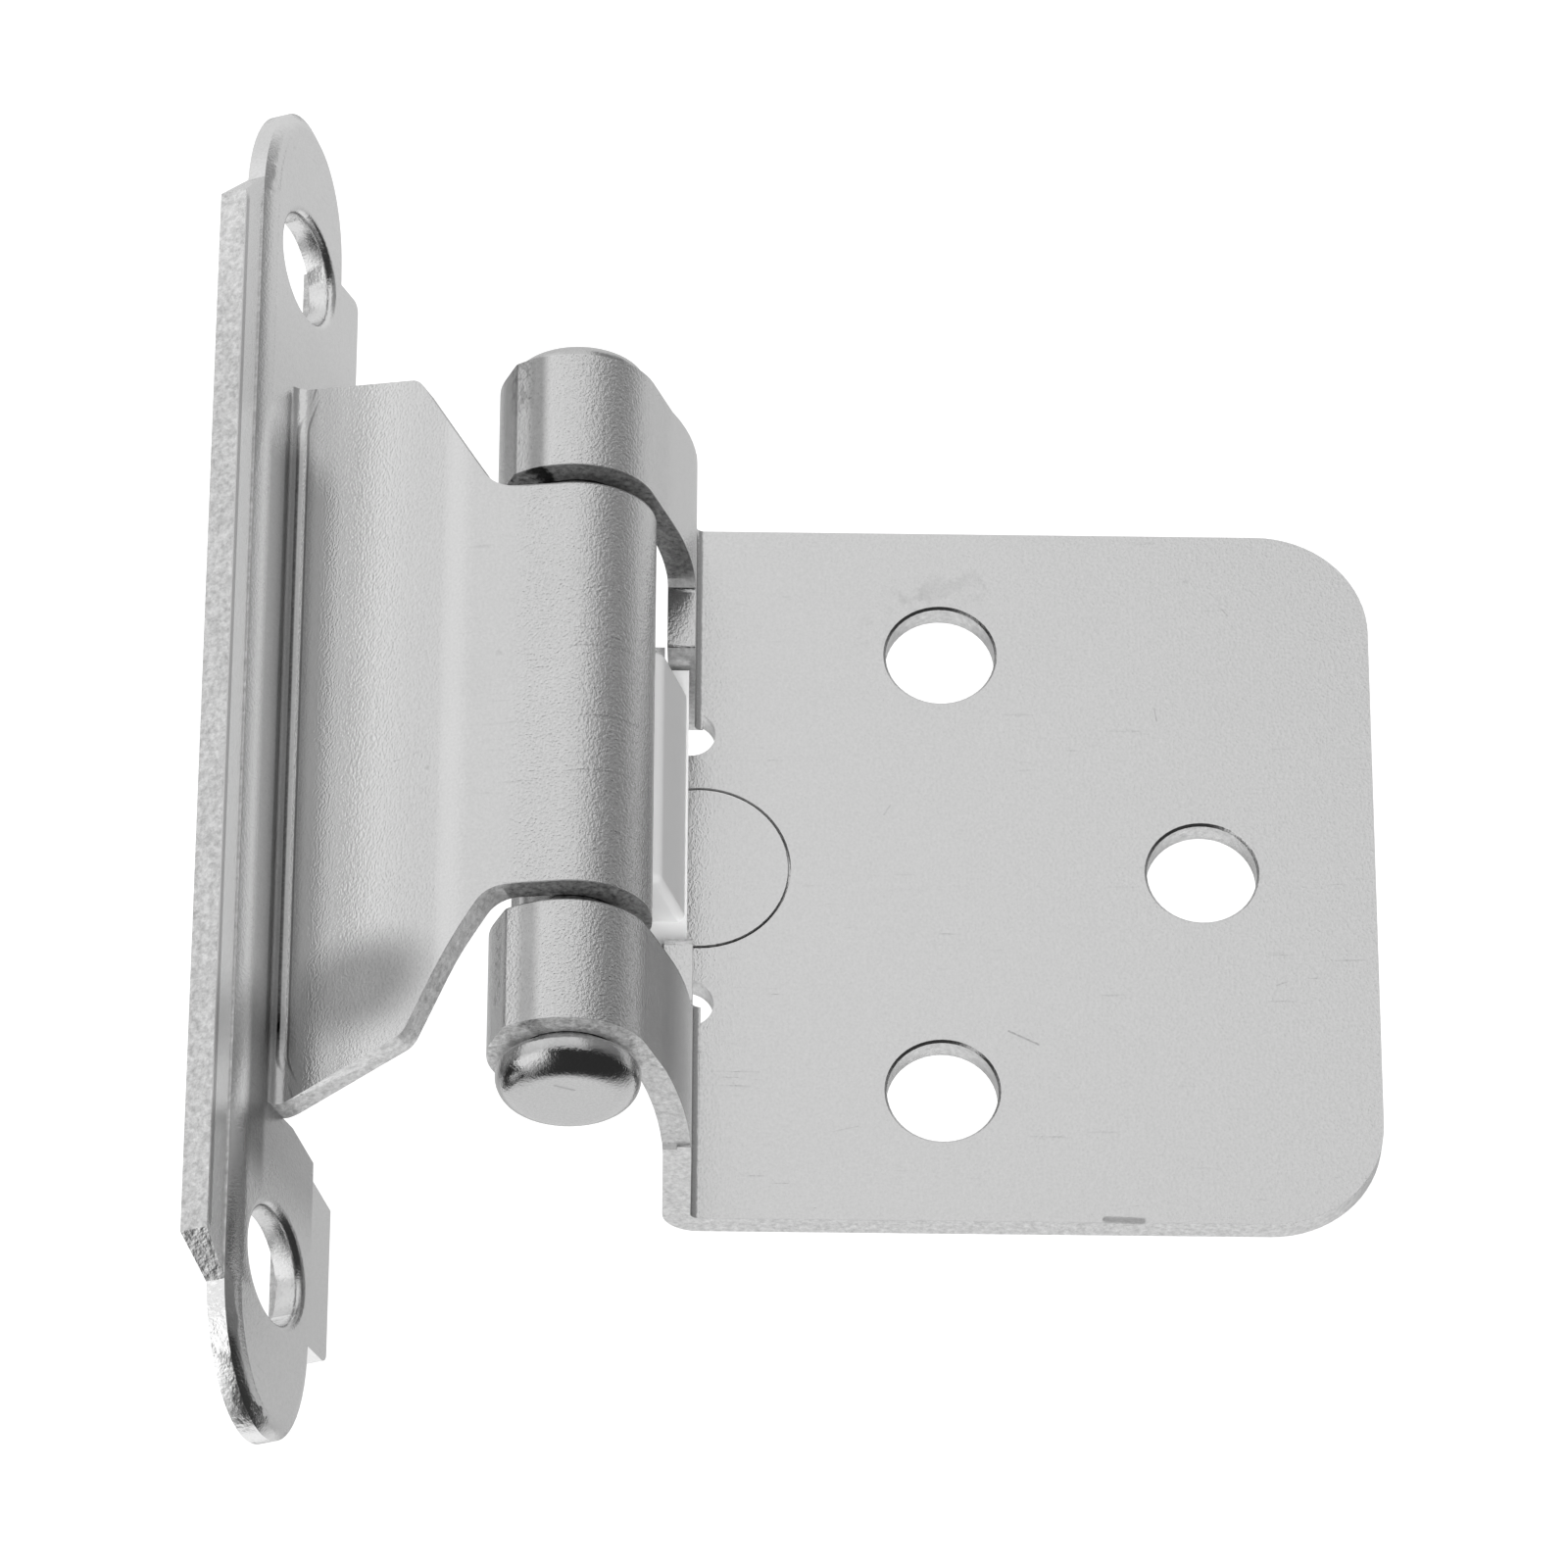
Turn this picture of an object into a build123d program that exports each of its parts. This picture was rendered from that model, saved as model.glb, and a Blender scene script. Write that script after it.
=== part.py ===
import os
from math import cos, radians, sin, sqrt, tan

from build123d import *

# Self-closing overlay hinge for a cabinet door, at its real size in millimetres.
# The frame leaf's back lies on y = 0 and faces +Y, the pin stands along Z in front of it,
# and z = 0 is the hinge's mid-height. The door leaf stands part open, as in the picture.

# Sheet, pin and running fits
sheet = 1.3
pin_radius = 2.35
pin_clearance = 0.05
knuckle_gap = 0.95
centre_knuckle_length = 21.1
knuckle_trim = 1.05
set_head_radius = 3.2
set_head_rise = 1.0
set_head_round = 0.6
button_head_radius = 3.3
button_head_gap = 0.45
button_head_rise = 1.85
button_head_round = 1.25
button_head_under_round = 0.45

# Where the pin stands from the frame leaf, and how far open the door leaf is
pin_x = -2.3
pin_offset = 14.9
rest_opening = 66.5

# Frame leaf: a wing screwed to the cabinet frame, and a neck that carries the centre knuckle
panel_width = 8.7
wing_height = 70.0
tip_length = 6.4
near_border_width = 1.75
near_border_length = 55.0
far_border_width = 2.1
far_border_length = 57.0
far_border_corner = 0.5
panel_rise = 0.5
panel_shoulder_drop = 0.42
panel_shoulder_width = 0.9
frame_hole_diameter = 5.4
frame_hole_spacing = 53.2
frame_hole_rim = 0.4
neck_root_x = 0.1
neck_lean = 10.5
neck_lead_lean = 15.5
neck_fold_radius = 0.6
neck_bend_radius = 2.4
neck_roll_turn = 236.0
neck_root_height = 38.2
neck_root_depth = 2.0
neck_shoulder_height = 34.7
neck_shoulder_depth = 8.7
neck_waist_depth = 12.7
neck_shoulder_radius = 1.0
neck_waist_radius = 1.6
notch_flare = 1.6
notch_start = -1.2

# Door leaf: a plate behind the door, a flange along the door's edge, two straps to the knuckles
plate_height = 37.2
plate_width = 32.2
plate_corner_radius = 5.3
plate_setback = 13.6
flange_face = 5.6
flange_fold_radius = 0.4
flange_depth = 7.0
strap_angle = 70.0
strap_bend_radius = 18.0
strap_step = 0.12
strap_nick = 0.5
strap_roll_turn = 295.0
flange_corner_radius = 0.6
door_hole_diameter = 5.2
door_hole_chamfer = 0.12
door_hole_pair_reach = 11.7
door_hole_pair_spacing = 23.6
door_hole_single_reach = 24.0
window_height = 15.0
window_edge = 5.0
relief_radius = 1.2
relief_inset = 0.2
relief_reach = 0.2

# Leaf spring and the nylon follower that it presses on the centre knuckle
spring_thickness = 0.5
spring_foot_radius = 4.25
spring_foot_reach = 0.25
spring_foot_clearance = 0.1
spring_height = 8.0
spring_curl_radius = 1.1
spring_curl_x = 1.1
spring_leg_end = 4.0
follower_clearance = 0.05
follower_height = 12.4
follower_near_side = -1.5
follower_flush_gap = 0.3
follower_nose_side = 4.0
follower_slope_length = 4.4
follower_nose_radius = 0.8
follower_edge_radius = 0.4
follower_keeper_overlap = 1.1
follower_keeper_width = 1.35
follower_guide_gap = 0.15
follower_guide_start = 1.2

# Values that follow from the sizes above
bore_radius = pin_radius + pin_clearance
roll_radius = bore_radius + sheet / 2
knuckle_radius = bore_radius + sheet
pin_y = -pin_offset
centre_half = centre_knuckle_length / 2
strap_start = centre_half + knuckle_gap
barrel_half = plate_height / 2 - knuckle_trim
panel_half = panel_width / 2
near_edge = panel_half + near_border_width
far_edge = panel_half + far_border_width
tip_root = wing_height / 2 - tip_length
panel_middle = panel_rise + sheet / 2
panel_front = panel_rise + sheet
shoulder_level = panel_front - panel_shoulder_drop
beyond = 4 * sheet
slack = sheet / 100

# The door leaf's own plan: x runs along the plate away from the pin, y from the pin to the plate
along_angle = radians(180 + rest_opening)
along = Vector(cos(along_angle), sin(along_angle), 0)
across = Vector(sin(along_angle), -cos(along_angle), 0)
pin_place = Vector(pin_x, pin_y, 0)
door_plan = Plane(origin=pin_place, x_dir=along, z_dir=(0, 0, -1))
plate_face = Plane(origin=pin_place + across * plate_setback, x_dir=along, z_dir=across)


def door_side(reach):
    """Plane across the door leaf at a reach from the pin: x to the plate, y up, facing the pin."""
    return Plane(origin=pin_place + along * reach, x_dir=across, z_dir=-along)


def crossing(start, heading, other_start, other_heading):
    """Point where two lines in a plan meet, each given by a point and a heading in degrees."""
    ax, ay = cos(radians(heading)), sin(radians(heading))
    bx, by = cos(radians(other_heading)), sin(radians(other_heading))
    dx, dy = other_start[0] - start[0], other_start[1] - start[1]
    step = (dx * by - dy * bx) / (ax * by - ay * bx)
    return (start[0] + step * ax, start[1] + step * ay)


# Neck of the frame leaf. Its sheet folds up from the middle of the wing, leans towards the near
# edge, bends back and rolls round the pin. The roll stops short, so its end is the cam's step.
neck_heading = 270 + neck_lean
lead_heading = 270 - neck_lead_lean
roll_start = lead_heading + 90
roll_tangent = (
    pin_x + roll_radius * cos(radians(roll_start)),
    pin_y + roll_radius * sin(radians(roll_start)),
)
neck_root = (neck_root_x, -panel_middle)
neck_bend = crossing(neck_root, neck_heading, roll_tangent, lead_heading)
fold_middle_radius = neck_fold_radius + sheet / 2
fold_start_x = neck_root_x + fold_middle_radius * tan(radians((90 + neck_lean) / 2))
barrel_front = pin_y - knuckle_radius - beyond

with BuildPart() as neck:
    with BuildSketch():
        with BuildLine():
            FilletPolyline(
                (panel_half - panel_shoulder_width, -panel_middle), neck_root, neck_bend, roll_tangent,
                radius=[fold_middle_radius, neck_bend_radius + sheet / 2],
            )
        trace(line_width=sheet)
    extrude(amount=neck_root_height / 2, both=True)
    with BuildSketch(Plane.YZ):
        with BuildLine():
            upper = FilletPolyline(
                (beyond, neck_root_height / 2),
                (-neck_root_depth, neck_root_height / 2),
                (-neck_shoulder_depth, neck_shoulder_height / 2),
                (-neck_waist_depth, centre_half),
                (barrel_front, centre_half),
                radius=[neck_shoulder_radius, neck_shoulder_radius, neck_waist_radius],
            )
            mirror(upper, about=Plane.XZ)
            Line((beyond, -neck_root_height / 2), (beyond, neck_root_height / 2))
            Line((barrel_front, -centre_half), (barrel_front, centre_half))
        make_face()
    extrude(amount=near_edge + far_edge, both=True, mode=Mode.INTERSECT)
    with BuildSketch():
        with BuildLine():
            CenterArc((pin_x, pin_y), roll_radius, roll_start, -neck_roll_turn)
        trace(line_width=sheet)
    extrude(amount=centre_half, both=True)

# Frame leaf: the wing has a raised panel with two rounded tips and a low border along each side.
# The near border ramps up to the panel at both ends. The far half is cut away where the neck was
# folded out of it.
near_ramp_start = near_border_length / 2
near_ramp_end = near_ramp_start + near_border_width
with BuildPart() as frame_leaf:
    for level, inset in ((panel_rise, 0), (shoulder_level, 0), (panel_front, panel_shoulder_width)):
        with BuildSketch(Plane.XZ.offset(level)):
            Rectangle(2 * (panel_half - inset), 2 * tip_root)
            with Locations((0, tip_root), (0, -tip_root)):
                Ellipse(panel_half - inset, tip_length - inset)
    loft(ruled=True)
    with BuildSketch(Plane.XZ):
        with Locations((panel_half - sheet, 0)):
            Rectangle(near_border_width + sheet, near_border_length, align=(Align.MIN, Align.CENTER))
    extrude(amount=sheet)
    with BuildSketch(Plane.XZ) as far_border:
        with Locations((sheet - panel_half, 0)):
            Rectangle(far_border_width + sheet, far_border_length, align=(Align.MAX, Align.CENTER))
        fillet(far_border.vertices().group_by(Axis.X)[0], far_border_corner)
    extrude(amount=sheet)
    for side in (1, -1):
        with BuildSketch(Plane.XY.offset(side * near_ramp_start)):
            with Locations((panel_half - sheet, 0)):
                Rectangle(near_border_width + sheet, sheet, align=(Align.MIN, Align.MAX))
        with BuildSketch(Plane.XY.offset(side * near_ramp_end)):
            with Locations((panel_half - sheet, -panel_rise)):
                Rectangle(sheet, sheet - panel_shoulder_drop, align=(Align.MIN, Align.MAX))
        loft(ruled=True)
    with BuildSketch(Plane.XZ):
        with BuildLine():
            Polyline(
                (fold_start_x, neck_root_height / 2),
                (notch_start, neck_root_height / 2),
                (-far_edge, neck_root_height / 2 + notch_flare),
                (-2 * far_edge, neck_root_height / 2 + notch_flare),
                (-2 * far_edge, -neck_root_height / 2 - notch_flare),
                (-far_edge, -neck_root_height / 2 - notch_flare),
                (notch_start, -neck_root_height / 2),
                (fold_start_x, -neck_root_height / 2),
                close=True,
            )
        make_face()
    extrude(amount=panel_front, mode=Mode.SUBTRACT)
    add(neck.part)
    with BuildSketch(Plane.XZ):
        with GridLocations(panel_width, frame_hole_spacing, 1, 2):
            Circle(frame_hole_diameter / 2)
    extrude(amount=panel_front, mode=Mode.SUBTRACT)
    frame_hole_rims = frame_leaf.edges(Select.LAST).filter_by(GeomType.CIRCLE).group_by(Axis.Y)[0]
    fillet(frame_hole_rims, frame_hole_rim)
frame_leaf.part.label = "frame_leaf"

# Door leaf: plate, flange and straps are one sheet, rolled into the two outer knuckles.
plate_middle = plate_setback + sheet / 2
flange_middle = flange_face - sheet / 2
plate_end = flange_face + plate_width
strap_tangent_angle = strap_angle - 90
strap_tangent = (
    roll_radius * cos(radians(strap_tangent_angle)),
    roll_radius * sin(radians(strap_tangent_angle)),
)
strap_bend = crossing(strap_tangent, strap_angle, (flange_middle, plate_middle), 270)
flange_front = plate_setback - flange_depth
strap_reach = 2 * knuckle_radius
head_clear = set_head_radius + pin_clearance
taper_start = (
    bore_radius * sin(radians(strap_tangent_angle))
    + sqrt(head_clear**2 - bore_radius**2) * sin(radians(strap_angle))
)
door_holes = [
    (flange_face + door_hole_pair_reach, door_hole_pair_spacing / 2),
    (flange_face + door_hole_pair_reach, -door_hole_pair_spacing / 2),
    (flange_face + door_hole_single_reach, 0),
]
spring_foot_x = flange_face + spring_foot_reach
relief_z = window_height / 2 - relief_inset

with BuildPart() as door_leaf:
    with BuildSketch(door_plan):
        with BuildLine():
            FilletPolyline(
                (plate_end, plate_middle), (flange_middle, plate_middle), strap_bend, strap_tangent,
                radius=[flange_fold_radius + sheet / 2, strap_bend_radius],
            )
        trace(line_width=sheet)
    extrude(amount=plate_height / 2, both=True)
    with BuildSketch(door_side(flange_face + sheet)):
        with BuildLine():
            Polyline(
                (-strap_reach, barrel_half),
                (taper_start, barrel_half),
                (flange_front, plate_height / 2 - strap_step),
                (flange_front, plate_height / 2 + sheet),
                (-strap_reach, plate_height / 2 + sheet),
                close=True,
            )
        make_face()
        mirror(about=Plane.XZ)
    extrude(amount=flange_face + sheet, mode=Mode.SUBTRACT)
    with BuildSketch(door_side(flange_middle)):
        with BuildLine():
            Polyline(
                (flange_front - strap_nick / 2, plate_height / 2),
                (flange_front + strap_nick / 2, plate_height / 2),
                (flange_front, plate_height / 2 - strap_nick),
                close=True,
            )
        make_face()
        mirror(about=Plane.XZ)
    extrude(amount=sheet, mode=Mode.SUBTRACT)
    with BuildSketch(door_plan):
        with BuildLine():
            CenterArc((0, 0), roll_radius, strap_tangent_angle, -strap_roll_turn)
        trace(line_width=sheet)
    extrude(amount=barrel_half, both=True)
    with BuildSketch(door_side(flange_face + sheet)):
        with Locations((flange_front, 0)):
            Rectangle(flange_front + strap_reach, 2 * strap_start, align=(Align.MAX, Align.CENTER))
    extrude(amount=flange_face + strap_reach, mode=Mode.SUBTRACT)
    with BuildSketch(door_side(flange_face + sheet)):
        with Locations((plate_setback, 0)):
            Rectangle(flange_depth + sheet, window_height, align=(Align.MAX, Align.CENTER))
    extrude(amount=3 * sheet, mode=Mode.SUBTRACT)
    with BuildSketch(door_side(window_edge)):
        with Locations((plate_middle, 0)):
            Rectangle(2 * sheet, window_height)
    extrude(amount=window_edge, mode=Mode.SUBTRACT)
    flange_corners = door_leaf.edges().filter_by(Axis(pin_place, along)).filter_by(
        lambda edge: abs((edge.center() - pin_place).dot(across) - flange_front) < slack
        and abs(edge.center().Z) < strap_start + slack)
    fillet(flange_corners, flange_corner_radius)
    plate_corners = door_leaf.edges().filter_by(Axis(pin_place, across)).sort_by(
        Axis(pin_place, along))[-2:]
    fillet(plate_corners, plate_corner_radius)
    with BuildSketch(plate_face):
        with Locations(*door_holes):
            Circle(door_hole_diameter / 2)
    extrude(amount=sheet, mode=Mode.SUBTRACT)
    door_hole_rims = door_leaf.edges(Select.LAST).filter_by(GeomType.CIRCLE).group_by(
        Axis(pin_place, across))[0]
    chamfer(door_hole_rims, door_hole_chamfer)
    with BuildSketch(plate_face):
        with Locations((flange_face - relief_reach, relief_z), (flange_face - relief_reach, -relief_z)):
            Circle(relief_radius)
    extrude(amount=sheet, mode=Mode.SUBTRACT)
    with BuildSketch(plate_face):
        with Locations((spring_foot_x, 0)):
            Circle(spring_foot_radius + spring_foot_clearance)
    extrude(amount=spring_thickness, mode=Mode.SUBTRACT)
door_leaf.part.label = "door_leaf"

# Hinge pin: a rivet. Its button head stands a little off one end of the barrel, and its other end
# is set over to a low head that bears on the other end.
button_seat = barrel_half + button_head_gap
button_top = button_seat + button_head_rise
set_top = -barrel_half - set_head_rise
with BuildPart() as hinge_pin:
    with BuildSketch(Plane(origin=pin_place, x_dir=(1, 0, 0), z_dir=(0, -1, 0))):
        with BuildLine():
            FilletPolyline(
                (0, button_top),
                (button_head_radius, button_top),
                (button_head_radius, button_seat),
                (pin_radius, button_seat),
                radius=[button_head_round, button_head_under_round],
            )
            Polyline((pin_radius, button_seat), (pin_radius, -barrel_half), (set_head_radius, -barrel_half))
            FilletPolyline(
                (set_head_radius, -barrel_half),
                (set_head_radius, set_top),
                (0, set_top),
                radius=set_head_round,
            )
            Line((0, set_top), (0, button_top))
        make_face()
    revolve(axis=Axis(pin_place, (0, 0, 1)))
hinge_pin.part.label = "hinge_pin"

# Leaf spring: its half-round foot lies flush in the plate, and its arm goes through the window
# and curls back to press on the follower.
spring_middle = plate_setback + spring_thickness / 2
spring_leg_middle = spring_middle - 2 * spring_curl_radius
with BuildPart() as leaf_spring:
    with BuildSketch(door_plan):
        with BuildLine():
            Line((spring_foot_x, spring_middle), (spring_curl_x, spring_middle))
            CenterArc(
                (spring_curl_x, spring_middle - spring_curl_radius), spring_curl_radius, 90, 180)
            Line((spring_curl_x, spring_leg_middle), (spring_leg_end, spring_leg_middle))
        trace(line_width=spring_thickness)
    extrude(amount=spring_height / 2, both=True)
    with BuildSketch(plate_face):
        with Locations((spring_foot_x, 0)):
            Circle(spring_foot_radius)
        with Locations((window_edge, 0)):
            Rectangle(
                2 * spring_foot_radius, 4 * spring_foot_radius,
                align=(Align.MAX, Align.CENTER), mode=Mode.SUBTRACT)
    extrude(amount=spring_thickness)
leaf_spring.part.label = "leaf_spring"

# Cam follower: a nylon slide that runs in the flange's window. Its nose rests on the centre
# knuckle, and a keeper at each end bears on the inside of the flange.
nose = knuckle_radius + follower_clearance
follower_back = spring_leg_middle - spring_thickness / 2 - follower_clearance
follower_face = flange_face - follower_flush_gap
keeper_face = flange_face - sheet - follower_guide_gap
guide_front = flange_front + follower_guide_start
guide_length = follower_back - guide_front
guide_height = window_height - 2 * follower_guide_gap
keeper_height = window_height + 2 * follower_keeper_overlap
with BuildPart() as cam_follower:
    with BuildSketch(door_plan):
        with BuildLine():
            FilletPolyline(
                (follower_near_side, follower_back),
                (follower_near_side, nose),
                (follower_nose_side, nose),
                (follower_face, nose + follower_slope_length),
                radius=[follower_edge_radius, follower_nose_radius],
            )
            Polyline(
                (follower_face, nose + follower_slope_length),
                (follower_face, follower_back),
                (follower_near_side, follower_back),
            )
        make_face()
    extrude(amount=follower_height / 2, both=True)
    fillet(cam_follower.faces().filter_by(Axis.Z).edges(), follower_edge_radius)
    with BuildSketch(door_plan):
        with Locations((keeper_face, guide_front)):
            Rectangle(follower_face - keeper_face, guide_length, align=(Align.MIN, Align.MIN))
    extrude(amount=guide_height / 2, both=True)
    with BuildSketch(door_plan):
        with Locations((keeper_face, guide_front)):
            Rectangle(follower_keeper_width, guide_length, align=(Align.MAX, Align.MIN))
    extrude(amount=keeper_height / 2, both=True)
cam_follower.part.label = "cam_follower"

os.makedirs("parts", exist_ok=True)
export_step(frame_leaf.part, "parts/frame_leaf.step")
export_step(door_leaf.part, "parts/door_leaf.step")
export_step(hinge_pin.part, "parts/hinge_pin.step")
export_step(leaf_spring.part, "parts/leaf_spring.step")
export_step(cam_follower.part, "parts/cam_follower.step")
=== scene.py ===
from math import atan2, cos, degrees, radians, sin

import bmesh
import bpy
from mathutils import Matrix, Vector


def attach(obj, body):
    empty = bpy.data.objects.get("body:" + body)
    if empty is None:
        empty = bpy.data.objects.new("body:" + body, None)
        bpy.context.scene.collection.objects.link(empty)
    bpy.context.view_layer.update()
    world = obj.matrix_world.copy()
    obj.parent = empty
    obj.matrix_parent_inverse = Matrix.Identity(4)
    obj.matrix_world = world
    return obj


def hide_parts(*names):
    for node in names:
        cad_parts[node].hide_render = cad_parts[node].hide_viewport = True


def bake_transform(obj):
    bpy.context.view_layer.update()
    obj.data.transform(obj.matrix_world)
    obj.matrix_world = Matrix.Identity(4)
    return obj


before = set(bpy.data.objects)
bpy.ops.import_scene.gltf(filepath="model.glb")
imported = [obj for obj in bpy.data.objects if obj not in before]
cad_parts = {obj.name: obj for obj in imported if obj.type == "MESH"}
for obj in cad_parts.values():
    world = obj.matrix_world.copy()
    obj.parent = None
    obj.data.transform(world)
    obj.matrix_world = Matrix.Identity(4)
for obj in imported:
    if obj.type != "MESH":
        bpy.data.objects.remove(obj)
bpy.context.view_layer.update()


# Frame leaf: one stamped piece of satin nickel-plated sheet steel. The wing screws to the cabinet
# frame, the neck is folded out of its middle, and the neck's end is rolled into the centre knuckle.
# Shearing leaves its edges granular. Their eased corners are lightened, partly as polish from handling
# and partly as a painted highlight.
MM = 0.001
pin_place = Vector((-2.3, -14.9, 0.0))
knuckle_radius = 3.7
centre_knuckle_half = 10.6
frame_hole_height = 26.6
frame_hole_rim = 3.4
smooth_tip_start = 28.0
wing_limit = -2.0
neck_start = -2.6
neck_rounding = 0.4
end_facing = 0.35
edge_facing = 0.4


class Shade:
    """A value inside a finish. Arithmetic on it adds Math nodes, and node() adds any other node."""

    def __init__(self, tree, socket=None):
        self.tree = tree
        self.socket = socket

    def node(self, kind, settings=None, sockets=None, out=0):
        made = self.tree.nodes.new(kind)
        for name, value in (settings or {}).items():
            setattr(made, name, value)
        for name, value in (sockets or {}).items():
            if isinstance(value, Shade):
                self.tree.links.new(value.socket, made.inputs[name])
            else:
                made.inputs[name].default_value = value
        return Shade(self.tree, made.outputs[out])

    def maths(self, operation, first, second=0.0):
        return self.node("ShaderNodeMath", {"operation": operation}, {0: first, 1: second})

    def vectors(self, operation, first, second=(0.0, 0.0, 0.0), out="Vector"):
        return self.node("ShaderNodeVectorMath", {"operation": operation}, {0: first, 1: second}, out)

    def __add__(self, other):
        return self.maths("ADD", self, other)

    def __radd__(self, other):
        return self.maths("ADD", other, self)

    def __sub__(self, other):
        return self.maths("SUBTRACT", self, other)

    def __rsub__(self, other):
        return self.maths("SUBTRACT", other, self)

    def __mul__(self, other):
        return self.maths("MULTIPLY", self, other)

    def __rmul__(self, other):
        return self.maths("MULTIPLY", other, self)

    def __truediv__(self, other):
        return self.maths("DIVIDE", self, other)

    def __abs__(self):
        return self.maths("ABSOLUTE", self)

    def hypot(self, other):
        """The long side of a right triangle with these two legs."""
        return self.maths("SQRT", self * self + other * other)

    def step(self, low, high):
        """0 below low, 1 above high, and smooth between them."""
        return self.node("ShaderNodeMapRange", {"interpolation_type": "SMOOTHSTEP"},
                         {"Value": self, "From Min": low, "From Max": high})

    def fade(self, low, high):
        """1 below low, 0 above high, and smooth between them."""
        return 1 - self.step(low, high)

    def between(self, low, high, soft):
        """1 from low to high, and 0 outside them past a soft margin."""
        return self.step(low - soft, low) * self.fade(high, high + soft)

    def noise(self, scale, detail, roughness):
        """Soft random texture on a place, with so many features to the metre."""
        return self.node("ShaderNodeTexNoise", None,
                         {"Vector": self, "Scale": scale, "Detail": detail, "Roughness": roughness})

    def along_axis(self, name):
        """One coordinate of a place, in millimetres."""
        return self.node("ShaderNodeSeparateXYZ", None, {"Vector": self}, name) / MM

    def off_axis(self, centre):
        """How far a place is from an upright line, in millimetres."""
        level = self.vectors("MULTIPLY", self.vectors("SUBTRACT", self, centre * MM), (1.0, 1.0, 0.0))
        return self.vectors("LENGTH", level, out="Value") / MM

    def stroke(self, first, last, width):
        """A scratch from one point to another, in millimetres: 1 on its line and 0 past its width."""
        run = Vector(last) - Vector(first)
        off = self.vectors("SUBTRACT", self, Vector(first) * MM)
        share = self.vectors("DOT_PRODUCT", off, run / (run.length_squared * MM), "Value")
        share = self.maths("MINIMUM", self.maths("MAXIMUM", share, 0.0), 1.0)
        reach = self.node("ShaderNodeVectorMath", {"operation": "SCALE"}, {0: run * MM, "Scale": share})
        gap = self.vectors("DISTANCE", off, reach, "Value") / MM
        return gap.fade(0.3 * width, width)


def start_finish(name):
    """A new finish with nothing in it but its shader. Gives the material, the shader and a start."""
    finish = bpy.data.materials.new(name)
    finish.use_nodes = True
    shader = finish.node_tree.nodes["Principled BSDF"]
    return finish, shader, Shade(finish.node_tree)


def link(shade, socket):
    """Feeds a shade into one of a shader's sockets."""
    shade.tree.links.new(shade.socket, socket)


def grey_colour(shade):
    """A neutral colour as light as the shade."""
    return shade.node("ShaderNodeCombineColor", None, {"Red": shade, "Green": shade, "Blue": shade})


def nickel_finish(name, level, roughness, grain_height, marks):
    """Satin nickel plate: fine raised grain, soft mottling, pits, hairlines, and rough cut edges.

    marks takes a place and gives two shades: scored lines, some darkened as painted shade, and dull
    patches mixed with painted shade and painted light.
    """
    finish, shader, start = start_finish(name)
    place = start.node("ShaderNodeTexCoord", out="Object")
    cut, hammered, worn_and_highlight = (start.node("ShaderNodeAttribute", {"attribute_name": attribute}, out="Fac")
                           for attribute in ("cut", "hammered", "worn_and_highlight"))
    grain = place.noise(scale=7600.0, detail=2.0, roughness=0.6)
    mottle = place.noise(scale=260.0, detail=4.0, roughness=0.55)
    torn = place.noise(scale=3500.0, detail=4.0, roughness=0.7)
    dents = place.noise(scale=2500.0, detail=2.0, roughness=0.5)
    pit_cells = {"Vector": place, "Scale": 420.0}
    off_pit = start.node("ShaderNodeTexVoronoi", None, pit_cells, "Distance")
    pit_tint = start.node("ShaderNodeTexVoronoi", None, pit_cells, "Color")
    pit_chance = start.node("ShaderNodeSeparateColor", None, {"Color": pit_tint}, "Red")
    pits = off_pit.fade(0.03, 0.09) * pit_chance.step(0.80, 0.84)
    drawn = start.node("ShaderNodeMapping", None,
                       {"Vector": place, "Rotation": (0.0, 0.35, 0.2), "Scale": (900.0, 900.0, 15000.0)})
    streaks = drawn.noise(scale=0.35, detail=2.0, roughness=0.5)
    hairlines = streaks.step(0.66, 0.74) * mottle.step(0.5, 0.62)
    rolled = place.off_axis(pin_place).fade(knuckle_radius + 0.2, knuckle_radius + 1.1)
    # Both shades from marks darken the base colour; part of that is painted shade and painted light.
    scored, dull_and_painted_shading = marks(place)
    # Eased edges are lighter and smoother: partly wear, partly a painted highlight along the edges.
    grey = (level + (mottle - 0.5) * 0.07 + (grain - 0.5) * 0.16 + worn_and_highlight * 0.2 + hammered * 0.24
            - pits * 0.06 - hairlines * 0.05 - scored * 0.3 - dull_and_painted_shading * 0.3 - cut * (torn - 0.38) * 1.3)
    link(grey_colour(grey), shader.inputs["Base Color"])
    link(roughness + (mottle - 0.5) * 0.1 + dull_and_painted_shading * 0.1 + cut * 0.12 - worn_and_highlight * 0.06,
         shader.inputs["Roughness"])
    link(1 - cut * (1 - hammered) * 0.6, shader.inputs["Metallic"])
    height = ((grain - 0.5) * (1 - cut) * (0.5 + rolled * 0.9) + (torn - 0.5) * cut * 2.2
              + (dents - 0.5) * hammered * 1.5 - scored * 0.3 - pits * 0.15 - hairlines * 0.1)
    bump = start.node("ShaderNodeBump", None,
                      {"Height": height, "Strength": 1.0, "Distance": grain_height})
    link(bump, shader.inputs["Normal"])
    return finish


def merged_copy(node):
    """A solid's mesh as one closed skin, with flat faces whole again."""
    mesh = bmesh.new()
    mesh.from_mesh(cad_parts[node].data)
    bmesh.ops.remove_doubles(mesh, verts=mesh.verts, dist=0.002 * MM)
    bmesh.ops.dissolve_limit(mesh, angle_limit=radians(0.2), verts=mesh.verts, edges=mesh.edges)
    return mesh


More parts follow.
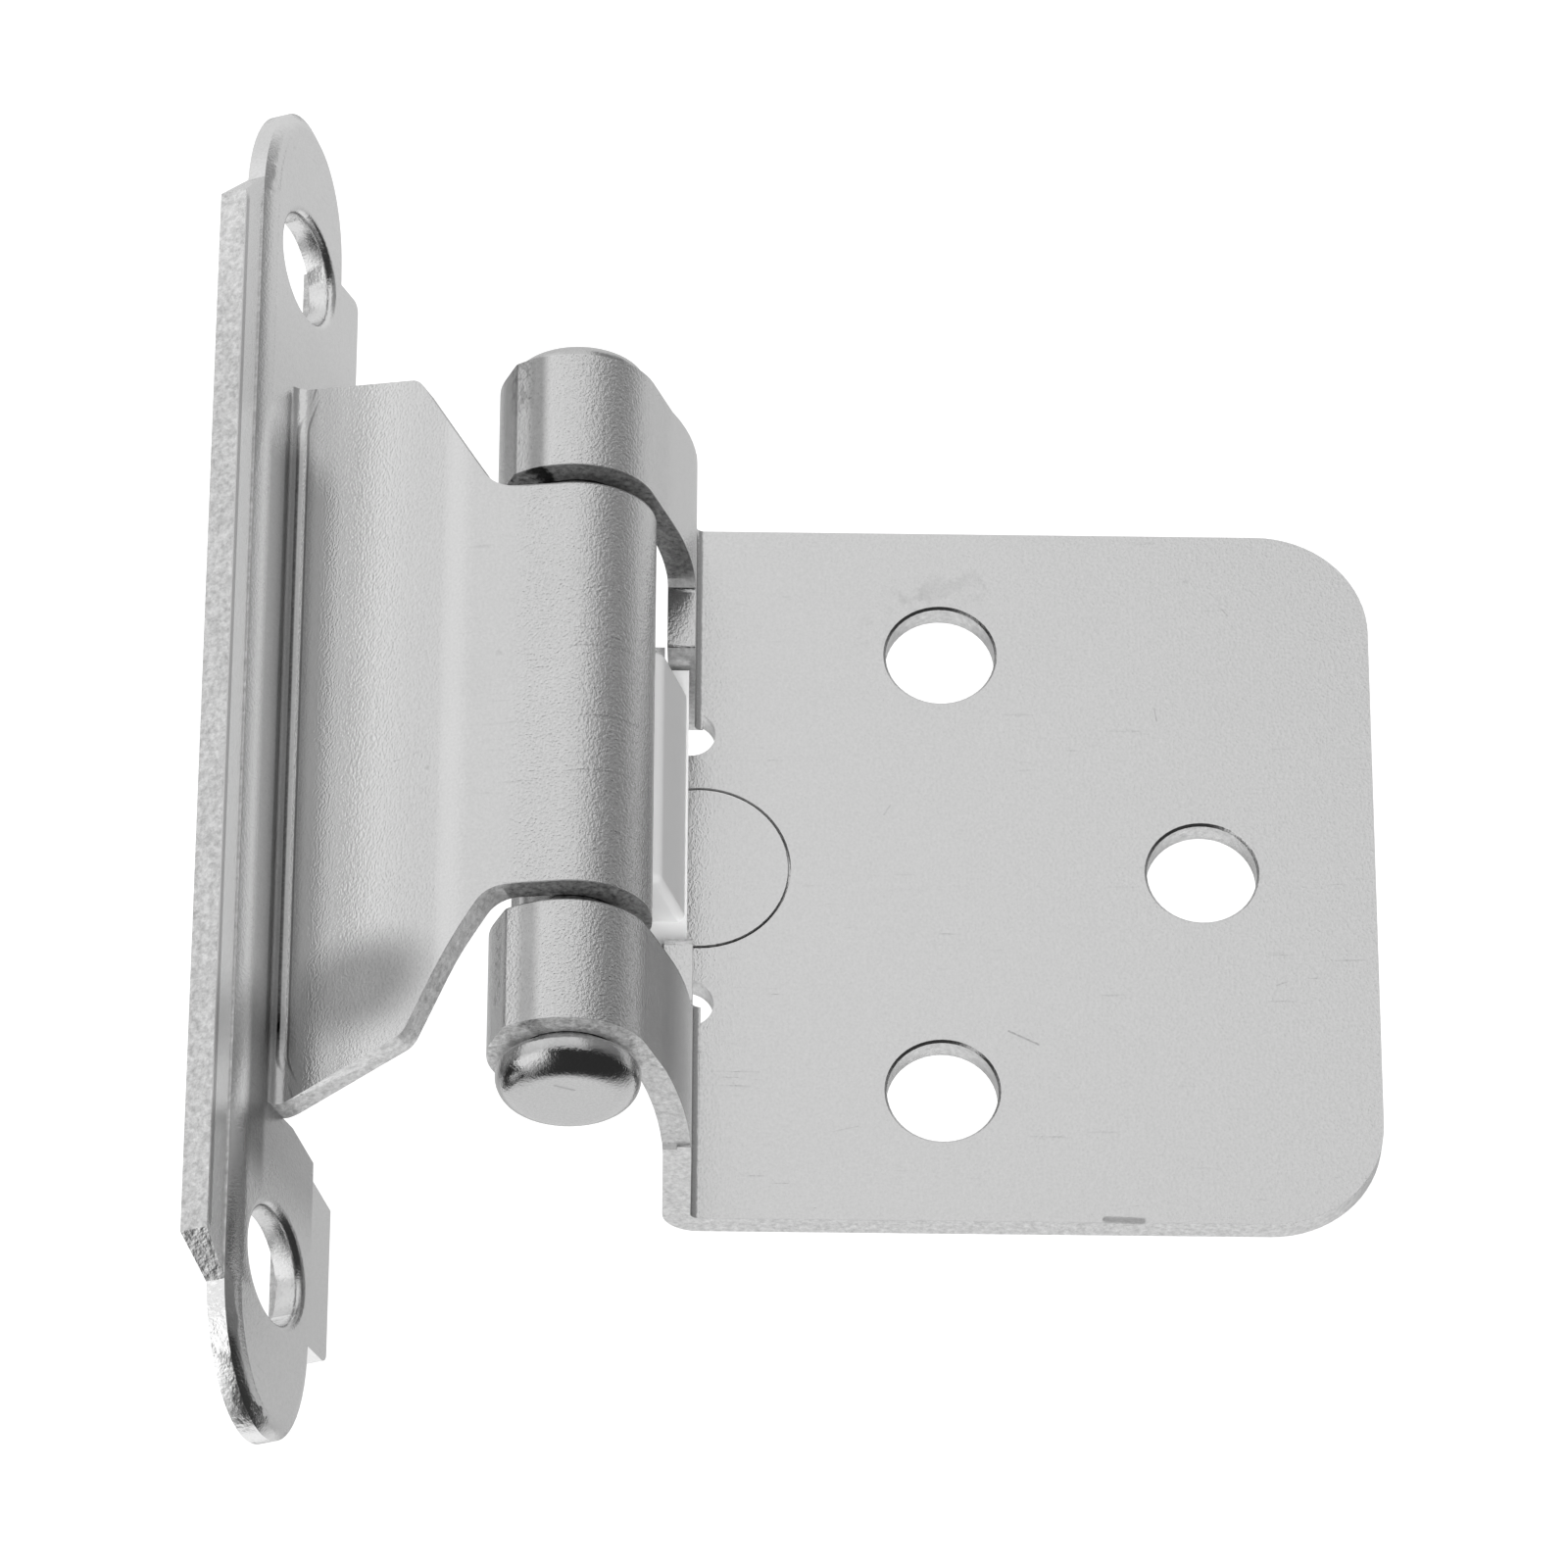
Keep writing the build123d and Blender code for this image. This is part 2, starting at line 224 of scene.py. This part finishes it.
def sharp_edges(mesh, least=35.0):
    """The edges of a skin where it turns by more than so many degrees."""
    return [edge for edge in mesh.edges
            if len(edge.link_faces) == 2 and edge.calc_face_angle() > radians(least)]


def ease_edges(mesh, edges, radius, segments):
    """Rounds edges of a skin, and gives the new faces."""
    eased = bmesh.ops.bevel(mesh, geom=edges, offset=radius, offset_type="OFFSET", affect="EDGES",
                            segments=segments, profile=0.5, material=-1, clamp_overlap=True)
    return eased["faces"]


def eased_piece(name, mesh, radius, is_cut=None, is_hammered=None):
    """Marks a skin's cut and hammered faces, eases its sharp edges, and makes the piece.

    The eased faces are marked for wear and for a painted highlight along the edges.
    """
    cut = mesh.faces.layers.float.new("cut")
    hammered = mesh.faces.layers.float.new("hammered")
    worn_and_highlight = mesh.faces.layers.float.new("worn_and_highlight")
    for face in mesh.faces:
        centre = face.calc_center_median() / MM
        face[cut] = is_cut(centre, face.normal) if is_cut else 0.0
        face[hammered] = float(bool(is_hammered) and is_hammered(centre, face.normal))
        face.smooth = True
    # The eased faces are marked to be lightened: partly wear, partly a painted highlight.
    for face in ease_edges(mesh, sharp_edges(mesh), radius, segments=2):
        face[worn_and_highlight] = 1.0
        face[cut] = 0.0
    data = bpy.data.meshes.new(name)
    mesh.to_mesh(data)
    mesh.free()
    data.set_sharp_from_angle(angle=radians(50))
    piece = bpy.data.objects.new(name, data)
    bpy.context.scene.collection.objects.link(piece)
    weighted = piece.modifiers.new("even_faces", "WEIGHTED_NORMAL")
    weighted.keep_sharp = True
    return piece


def frame_cut(centre, normal):
    """How torn a face of the frame leaf is: its sheared edges are, and its tips are pressed smooth."""
    sheared = 0.7
    if min(Vector((centre.x, centre.z - z)).length
           for z in (-frame_hole_height, frame_hole_height)) < frame_hole_rim:
        return 0.0
    if centre.y > wing_limit:
        return sheared * (abs(normal.y) < edge_facing and abs(centre.z) < smooth_tip_start)
    return sheared * (abs(normal.z) > end_facing)


def frame_hammered(centre, normal):
    """Whether a face is the lower tip's edge, which the die has left dented."""
    return centre.z > smooth_tip_start and abs(normal.y) < 0.5


def frame_marks(place):
    """The crease scored along the neck's fold, the rubs round the centre knuckle, and patches of painted
    shade and light.

    The crease's lines are also darkened as painted shade. The fold, the valley beside it, the panel
    below the neck, a line by the border's edge and the centre knuckle's end rims are darkened as painted
    shade, and a dark patch low on the neck is a painted reflection. The neck beside the fold and the
    upper tip are lightened as painted light.
    """
    side = place.along_axis("X")
    out = place.along_axis("Y")
    height = place.along_axis("Z")
    off_middle = abs(height)
    on_panel = out.step(-3.0, -2.2) * out.fade(-1.4, -1.2)
    on_neck_front = out.fade(-3.2, -2.4) * side.step(0.9, 1.1)

    # The crease lines are bumped as a groove and darkened; the darkening is painted shade in the crease.
    flare = off_middle.step(16.5, 19.2) * 0.8
    crease = 0.0
    for crease_x, crease_y in ((1.12, -2.05), (1.02, -2.50)):
        gap = (side - crease_x).hypot(out + flare - crease_y)
        crease = crease + gap.fade(0.03, 0.12) * off_middle.fade(19.6, 19.9)
    rub_lines = ((-2.0, -18.2, -16.4), (1.7, -18.3, -16.8), (4.6, -18.1, -16.2))
    rub_slant = 0.12
    rubs = 0.0
    for rub_height, rub_start, rub_end in rub_lines:
        wander = height - rub_height - (out - rub_start) * rub_slant
        rubs = rubs + abs(wander).fade(0.02, 0.07) * out.between(rub_start, rub_end, 0.4)
    rubs = rubs * side.step(-3.0, -2.0)

    # The fold's concave fillet is darkened: painted shade that also mutes its reflection.
    fold_middle = Vector((1.603, -2.4, 0.0))
    fold = place.off_axis(fold_middle).fade(0.62, 0.74) * out.step(-2.42, -2.2)
    fold = fold * off_middle.fade(14.8, 17.2)
    # The valley between the border's ridge and the fold is darkened: painted shade.
    valley = on_panel * side.between(2.0, 3.3, 0.5) * height.between(-14.0, 21.5, 3.0)
    # The panel below the neck's lower end is darkened: painted shade.
    lee = on_panel * side.between(-4.0, 3.2, 0.4) * height.between(16.5, 21.0, 4.0)
    # A dark line beside the border's near edge face: painted shadow.
    edge_shadow_line = side.between(5.72, 5.94, 0.08) * out.fade(-0.9, -0.7) * off_middle.fade(27.0, 27.5)
    # The centre knuckle's ends, in the gaps beside the outer knuckles, are darkened: painted shade.
    rim = off_middle.between(centre_knuckle_half - 0.10, centre_knuckle_half - 0.02, 0.02)
    rim = rim * place.off_axis(pin_place).fade(4.0, 4.6)
    # A dark patch low on the neck: a painted reflection of something dark.
    reflection_out, reflection_height = -6.0, 14.2
    reflection_width, reflection_rise = 4.8, 3.2
    off_reflection = ((height - reflection_height) / reflection_rise).hypot((out - reflection_out) / reflection_width)
    dark_reflection = off_reflection.fade(0.3, 1.1) * on_neck_front
    # The neck beside the fold and the upper tip are lightened: painted light.
    painted_light = out.step(-9.5, -3.5) * on_neck_front + height.fade(-26.0, -17.0) * 0.4
    scored = crease * 0.8 + rubs * 0.35
    dull_and_painted_shading = (crease * 0.3 + fold * 0.9 + valley * 0.8 + dark_reflection * 1.2 + edge_shadow_line * 0.9 + lee * 0.6 + rim * 1.1
              - painted_light * 0.7)
    return scored, dull_and_painted_shading


nickel = nickel_finish("satin_nickel", level=0.72, roughness=0.22, grain_height=0.034 * MM,
                       marks=frame_marks)
frame_skin = merged_copy("frame_leaf")
neck_back = [edge for edge in sharp_edges(frame_skin)
             if all(vert.co.y < neck_start * MM for vert in edge.verts)
             and any(face.normal.x < -0.5 for face in edge.link_faces)
             and any(abs(face.normal.z) > end_facing for face in edge.link_faces)]
ease_edges(frame_skin, neck_back, neck_rounding * MM, segments=3)
frame_piece = eased_piece("frame_leaf_eased", frame_skin, radius=0.13 * MM,
                          is_cut=frame_cut, is_hammered=frame_hammered)
frame_piece.data.materials.append(nickel)
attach(frame_piece, "frame")
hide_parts("frame_leaf")


# Door leaf: one stamped piece of the same plated sheet. The plate takes three screws into the door,
# its flange holds the follower, and the two straps end in the outer knuckles, whose last stretch
# the rolling tool has left flat.
rest_opening = 66.5
turn = radians(180 + rest_opening)
along = Vector((cos(turn), sin(turn), 0))
across = Vector((sin(turn), -cos(turn), 0))
plate_setback = 13.6
end_ring_start = 17.0
end_ring_reach = 4.3
outer_knuckle_rim = 11.5
flat_angle = 45.0
ridge_angle = 23.5
flat_end_angle = -35.0
ridge_rounding = 0.2


def door_point(reach, depth, height):
    """A point on the door leaf: reach along the plate and depth towards it from the pin."""
    return pin_place + along * reach + across * depth + Vector((0, 0, height))


def door_cut(centre, normal):
    """How torn a face of the door leaf is: its sheared edges are, most of all the knuckles' ends."""
    plate_edge, strap_edge, knuckle_ring = 0.5, 0.6, 1.0
    depth = (centre - pin_place).dot(across)
    if depth > plate_setback - 0.1:
        return plate_edge * (abs(normal.dot(across)) < edge_facing)
    off_pin = (centre.xy - pin_place.xy).length
    at_end = abs(centre.z) > end_ring_start and off_pin < end_ring_reach
    return (knuckle_ring if at_end else strap_edge) * (abs(normal.z) > end_facing)


def door_marks(place):
    """Handling scratches and a scuff on the plate, a dark nick on its edge, and marks on the knuckles.

    The rolling tool has left a streaked patch on each outer knuckle. A band along each outer knuckle's
    flat, a rim at its inner end and the upper knuckle's ridge are darkened as painted shade.
    """
    def plate_stroke(reach, height, end_reach, end_height, width):
        return place.stroke(door_point(reach, plate_setback, height),
                            door_point(end_reach, plate_setback, end_height), width)

    # Each scratch: from reach and height to reach and height, then its width and depth.
    scratch_lines = (
        (20.4, 8.6, 21.8, 9.3, 0.05, 0.5),
        (24.8, 18.45, 26.5, 18.5, 0.22, 1.0),
        (14.6, -3.0, 14.9, -3.5, 0.05, 0.3),
        (27.5, -9.0, 27.6, -8.3, 0.04, 0.3),
        (33.0, 6.0, 33.5, 5.8, 0.04, 0.3),
        (12.2, 14.0, 13.4, 13.7, 0.04, 0.2),
        (30.8, -14.6, 31.1, -14.2, 0.04, 0.25),
    )
    scratches = 0.0
    for reach, height, end_reach, end_height, width, depth in scratch_lines:
        scratches = scratches + depth * plate_stroke(reach, height, end_reach, end_height, width)
    scuff = (plate_stroke(14.2, -13.1, 15.9, -14.9, width=1.3)
             + plate_stroke(15.9, -14.9, 18.8, -15.7, width=1.3))
    scuff = scuff * place.noise(scale=900.0, detail=3.0, roughness=0.6).step(0.42, 0.6)

    heading = place.vectors("SUBTRACT", place, pin_place * MM)
    angle = place.maths("ARCTAN2", heading.along_axis("Y"), heading.along_axis("X")) * degrees(1.0)
    height = place.along_axis("Z")
    off_middle = abs(height)
    off_pin = place.off_axis(pin_place)
    barrel = off_pin.fade(4.2, 4.6)
    upper_patch = angle.between(12.0, 30.0, 4.0) * height.between(-18.0, -15.2, 0.5)
    lower_patch = angle.between(31.0, 40.0, 3.0) * height.between(12.0, 15.6, 0.6)
    patches = (upper_patch + lower_patch) * barrel
    streaks = place.noise(scale=2600.0, detail=1.0, roughness=0.5).step(0.5, 0.58)
    # A band along each outer knuckle's flat is darkened: painted shade.
    shaded = angle.between(4.0, 8.0, 9.0) * barrel * off_middle.step(11.0, 11.4)
    # The upper knuckle's ridge and flat are darkened to tone down their highlight: painted shade.
    ridge_shade = angle.between(4.0, 40.0, 6.0) * barrel * height.fade(-11.4, -11.0)
    # A rim at each outer knuckle's inner end, by the gap to the centre knuckle, is darkened: painted
    # shade.
    rim = off_middle.between(outer_knuckle_rim - 0.04, outer_knuckle_rim + 0.04, 0.02)
    rim = rim * off_pin.fade(7.5, 8.5)
    scored = scratches + patches * streaks * 0.45
    dull_and_painted_shading = scuff * 0.16 + patches * 0.2 + shaded * 0.8 + ridge_shade * 0.35 + rim * 1.2
    return scored, dull_and_painted_shading


def flatten_outer_knuckles(mesh):
    """Gives each outer knuckle the flat that its roll ends in, with a ridge along its front."""
    slack = 0.2

    def in_knuckle(vert):
        spot = vert.co / MM
        off_pin = (spot.xy - pin_place.xy).length
        return abs(spot.z) > centre_knuckle_half and off_pin < knuckle_radius + slack

    for angle in (flat_angle, ridge_angle, 10.0, 0.0):
        faces = [face for face in mesh.faces if all(in_knuckle(vert) for vert in face.verts)]
        edges = list({edge for face in faces for edge in face.edges})
        verts = list({vert for face in faces for vert in face.verts})
        aside_of_cut = Vector((-sin(radians(angle)), cos(radians(angle)), 0))
        bmesh.ops.bisect_plane(mesh, geom=verts + edges + faces, dist=0.01 * MM,
                               plane_co=pin_place * MM, plane_no=aside_of_cut)
    ridge_turn = flat_angle - ridge_angle
    proud = knuckle_radius / cos(radians(ridge_turn)) - knuckle_radius
    ridge = set()
    for vert in mesh.verts:
        spot = vert.co / MM - pin_place
        distance = spot.xy.length
        gone = flat_angle - degrees(atan2(spot.y, spot.x))
        on_skin = in_knuckle(vert) and distance > knuckle_radius - slack
        if not on_skin or not 0 < gone < flat_angle - flat_end_angle:
            continue
        if gone <= ridge_turn:
            rise = knuckle_radius / cos(radians(gone)) - knuckle_radius
        else:
            share = (gone - ridge_turn) / (flat_angle - flat_end_angle - ridge_turn)
            rise = proud * (1 - share) ** 2
        vert.co.xy += Vector((spot.x, spot.y)) * (rise / distance * MM)
        if abs(gone - ridge_turn) < 0.5:
            ridge.add(vert)
    ridge_edges = [edge for edge in mesh.edges if ridge.issuperset(edge.verts)]
    ease_edges(mesh, ridge_edges, ridge_rounding * MM, segments=2)


door_nickel = nickel_finish("satin_nickel_plate", level=0.72, roughness=0.22, grain_height=0.034 * MM,
                            marks=door_marks)
door_skin = merged_copy("door_leaf")
flatten_outer_knuckles(door_skin)
door_piece = eased_piece("door_leaf_eased", door_skin, radius=0.10 * MM, is_cut=door_cut)
door_piece.data.materials.append(door_nickel)
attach(door_piece, "door")
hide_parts("door_leaf")


# Hinge pin: a steel rivet, headed at both ends and fixed in the outer knuckles. The header has
# polished the button end and left one light dent on its crown.
crown_height = 19.9


def pin_marks(place):
    """The dent on the crown."""
    dent = place.stroke((-1.4, -15.6, crown_height), (-0.7, -15.0, crown_height), width=0.14)
    return dent * 0.4, dent * 0.1


pin_finish = nickel_finish("headed_pin", level=0.58, roughness=0.14, grain_height=0.012 * MM,
                           marks=pin_marks)
pin_piece = eased_piece("hinge_pin_eased", merged_copy("hinge_pin"), radius=0.05 * MM)
pin_piece.data.materials.append(pin_finish)
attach(pin_piece, "door")
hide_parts("hinge_pin")


# Leaf spring: a strip of plated spring steel, bent to press on the follower. Its half-round foot lies
# flush in the plate, seated in a shallow recess.
curl_reach = 1.1
leg_depth = 12.0
spring_piece = eased_piece("leaf_spring_eased", merged_copy("leaf_spring"), radius=0.06 * MM)
spring_piece.data.materials.append(door_nickel)
door_point(curl_reach, plate_setback - 0.1, 0) * MM
door_point(curl_reach, leg_depth, 0) * MM
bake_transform(spring_piece)
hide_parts("leaf_spring")


# Cam follower: a moulded slide of pale nylon in the flange's window. Its faces carry the mould's fine
# bloom, and the nose that rides on the centre knuckle is rubbed smooth.
nylon_level = 0.91
nylon_roughness = 0.46
bloom_height = 0.006
nylon, nylon_shader, nylon_start = start_finish("pale_nylon")
nylon_place = nylon_start.node("ShaderNodeTexCoord", out="Object")
bloom = nylon_place.noise(scale=1500.0, detail=3.0, roughness=0.6)
cloud = nylon_place.noise(scale=180.0, detail=2.0, roughness=0.5)
nose = nylon_place.off_axis(pin_place).fade(3.8, 4.6)
nylon_grey = nylon_level + (cloud - 0.5) * 0.06 + (bloom - 0.5) * 0.04
link(grey_colour(nylon_grey), nylon_shader.inputs["Base Color"])
link(nylon_roughness + (bloom - 0.5) * 0.12 - nose * 0.14, nylon_shader.inputs["Roughness"])
nylon_relief = bloom * (1 - nose * 0.7)
nylon_bump = nylon_start.node("ShaderNodeBump", None,
                              {"Height": nylon_relief, "Strength": 1.0, "Distance": bloom_height * MM})
link(nylon_bump, nylon_shader.inputs["Normal"])
follower_piece = eased_piece("cam_follower_eased", merged_copy("cam_follower"), radius=0.15 * MM)
follower_piece.data.materials.append(nylon)
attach(follower_piece, "follower")
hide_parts("cam_follower")


# Studio: a plain floor below the hinge, which the camera sees as white and the metal as pale zones in
# front, behind, to the left and underneath. One soft box and a dim surround, bright behind and to the
# left, light the hinge, and the camera stands at the picture's angle.
view_turn = radians(67.398)
view_drop = radians(30.07)
view_roll = radians(180.197)
camera_place = Vector((337.12, -166.65, 218.55))
away = Vector((-sin(view_turn), cos(view_turn), 0))
leftwards = Vector((cos(view_turn), sin(view_turn), 0))
floor_drop = 0.16
floor_half = 4.0
paper_grey = 0.26
floor_mesh = bmesh.new()
bmesh.ops.create_grid(floor_mesh, x_segments=1, y_segments=1, size=floor_half,
                      matrix=Matrix.Translation((0, 0, -floor_drop)))
floor_data = bpy.data.meshes.new("floor")
floor_mesh.to_mesh(floor_data)
floor_mesh.free()
floor = bpy.data.objects.new("floor", floor_data)
bpy.context.scene.collection.objects.link(floor)

paper, paper_shader, paper_start = start_finish("white_paper")
paper_shader.inputs["Base Color"].default_value = (paper_grey, paper_grey, paper_grey, 1.0)
paper_shader.inputs["Roughness"].default_value = 0.9
paper_shader.inputs["Specular IOR Level"].default_value = 0.0
paper_place = paper_start.node("ShaderNodeTexCoord", out="Object")
paper_reach = paper_place.off_axis(Vector((0, 0, 0))) * MM


def floor_zone(left_turn, low, high):
    """The part of the floor that lies so many degrees round to the left from the camera's side."""
    axis = leftwards * sin(radians(left_turn)) - away * cos(radians(left_turn))
    share = paper_place.vectors("DOT_PRODUCT", paper_place, axis, "Value") / paper_reach
    return share.step(low, high)


in_front = floor_zone(24, 0.47, 0.72)
to_left = floor_zone(58, 0.78, 0.95)
behind = floor_zone(200, 0.26, 0.52)
under = paper_reach.fade(0.07, 0.16)
glow = 0.03 + in_front * 0.51 + behind * 0.44 + to_left * 0.15
glow = glow * (1 - under) + under * 0.55
straight = paper_start.node("ShaderNodeLightPath", out="Is Camera Ray")
mirrored = (paper_start.node("ShaderNodeLightPath", out="Is Glossy Ray")
            + paper_start.node("ShaderNodeLightPath", out="Is Transmission Ray"))
link(grey_colour(straight + glow * mirrored * (1 - straight)), paper_shader.inputs["Emission Color"])
paper_shader.inputs["Emission Strength"].default_value = 1.0
floor_data.materials.append(paper)

world = bpy.data.worlds.new("studio")
world.use_nodes = True
surround = world.node_tree.nodes["Background"]
surround.inputs["Strength"].default_value = 1.0
sky = Shade(world.node_tree)
sky_heading = sky.node("ShaderNodeTexCoord", out="Generated")
backward = sky.vectors("DOT_PRODUCT", sky_heading, away, "Value")
leftward = sky.vectors("DOT_PRODUCT", sky_heading, leftwards, "Value")
upward = sky.vectors("DOT_PRODUCT", sky_heading, (0.0, 0.0, 1.0), "Value")
low_left = leftward.step(0.35, 0.7) * upward.fade(0.4, 0.9) * backward.fade(0.1, 0.5)
high_left = leftward.step(0.3, 0.6) * upward.step(0.5, 0.8)
sky_level = 0.04 + backward.step(0.25, 0.75) * 0.84 + low_left * 1.1 + high_left * 0.3
link(grey_colour(sky_level), surround.inputs["Color"])
bpy.context.scene.world = world

soft_box = bpy.data.lights.new("soft_box", "AREA")
soft_box.shape = "RECTANGLE"
soft_box.size = 0.5
soft_box.size_y = 0.4
soft_box.energy = 4.2
lamp = bpy.data.objects.new("soft_box", soft_box)
lamp.location = leftwards * -0.08 - away * 0.42 + Vector((0, 0, 0.36))
lamp.rotation_euler = (-lamp.location).to_track_quat("-Z", "Y").to_euler()
lamp.visible_glossy = False
bpy.context.scene.collection.objects.link(lamp)

camera_data = bpy.data.cameras.new("camera")
camera_data.lens = 215.79
camera_data.sensor_width = 36.0
camera_data.clip_start = 0.01
camera = bpy.data.objects.new("camera", camera_data)
camera.matrix_world = (
    Matrix.Translation(camera_place * MM)
    @ Matrix.Rotation(view_turn, 4, "Z")
    @ Matrix.Rotation(radians(90) - view_drop, 4, "X")
    @ Matrix.Rotation(view_roll, 4, "Z")
)
bpy.context.scene.collection.objects.link(camera)
bpy.context.scene.camera = camera
bpy.context.scene.view_settings.view_transform = "Standard"
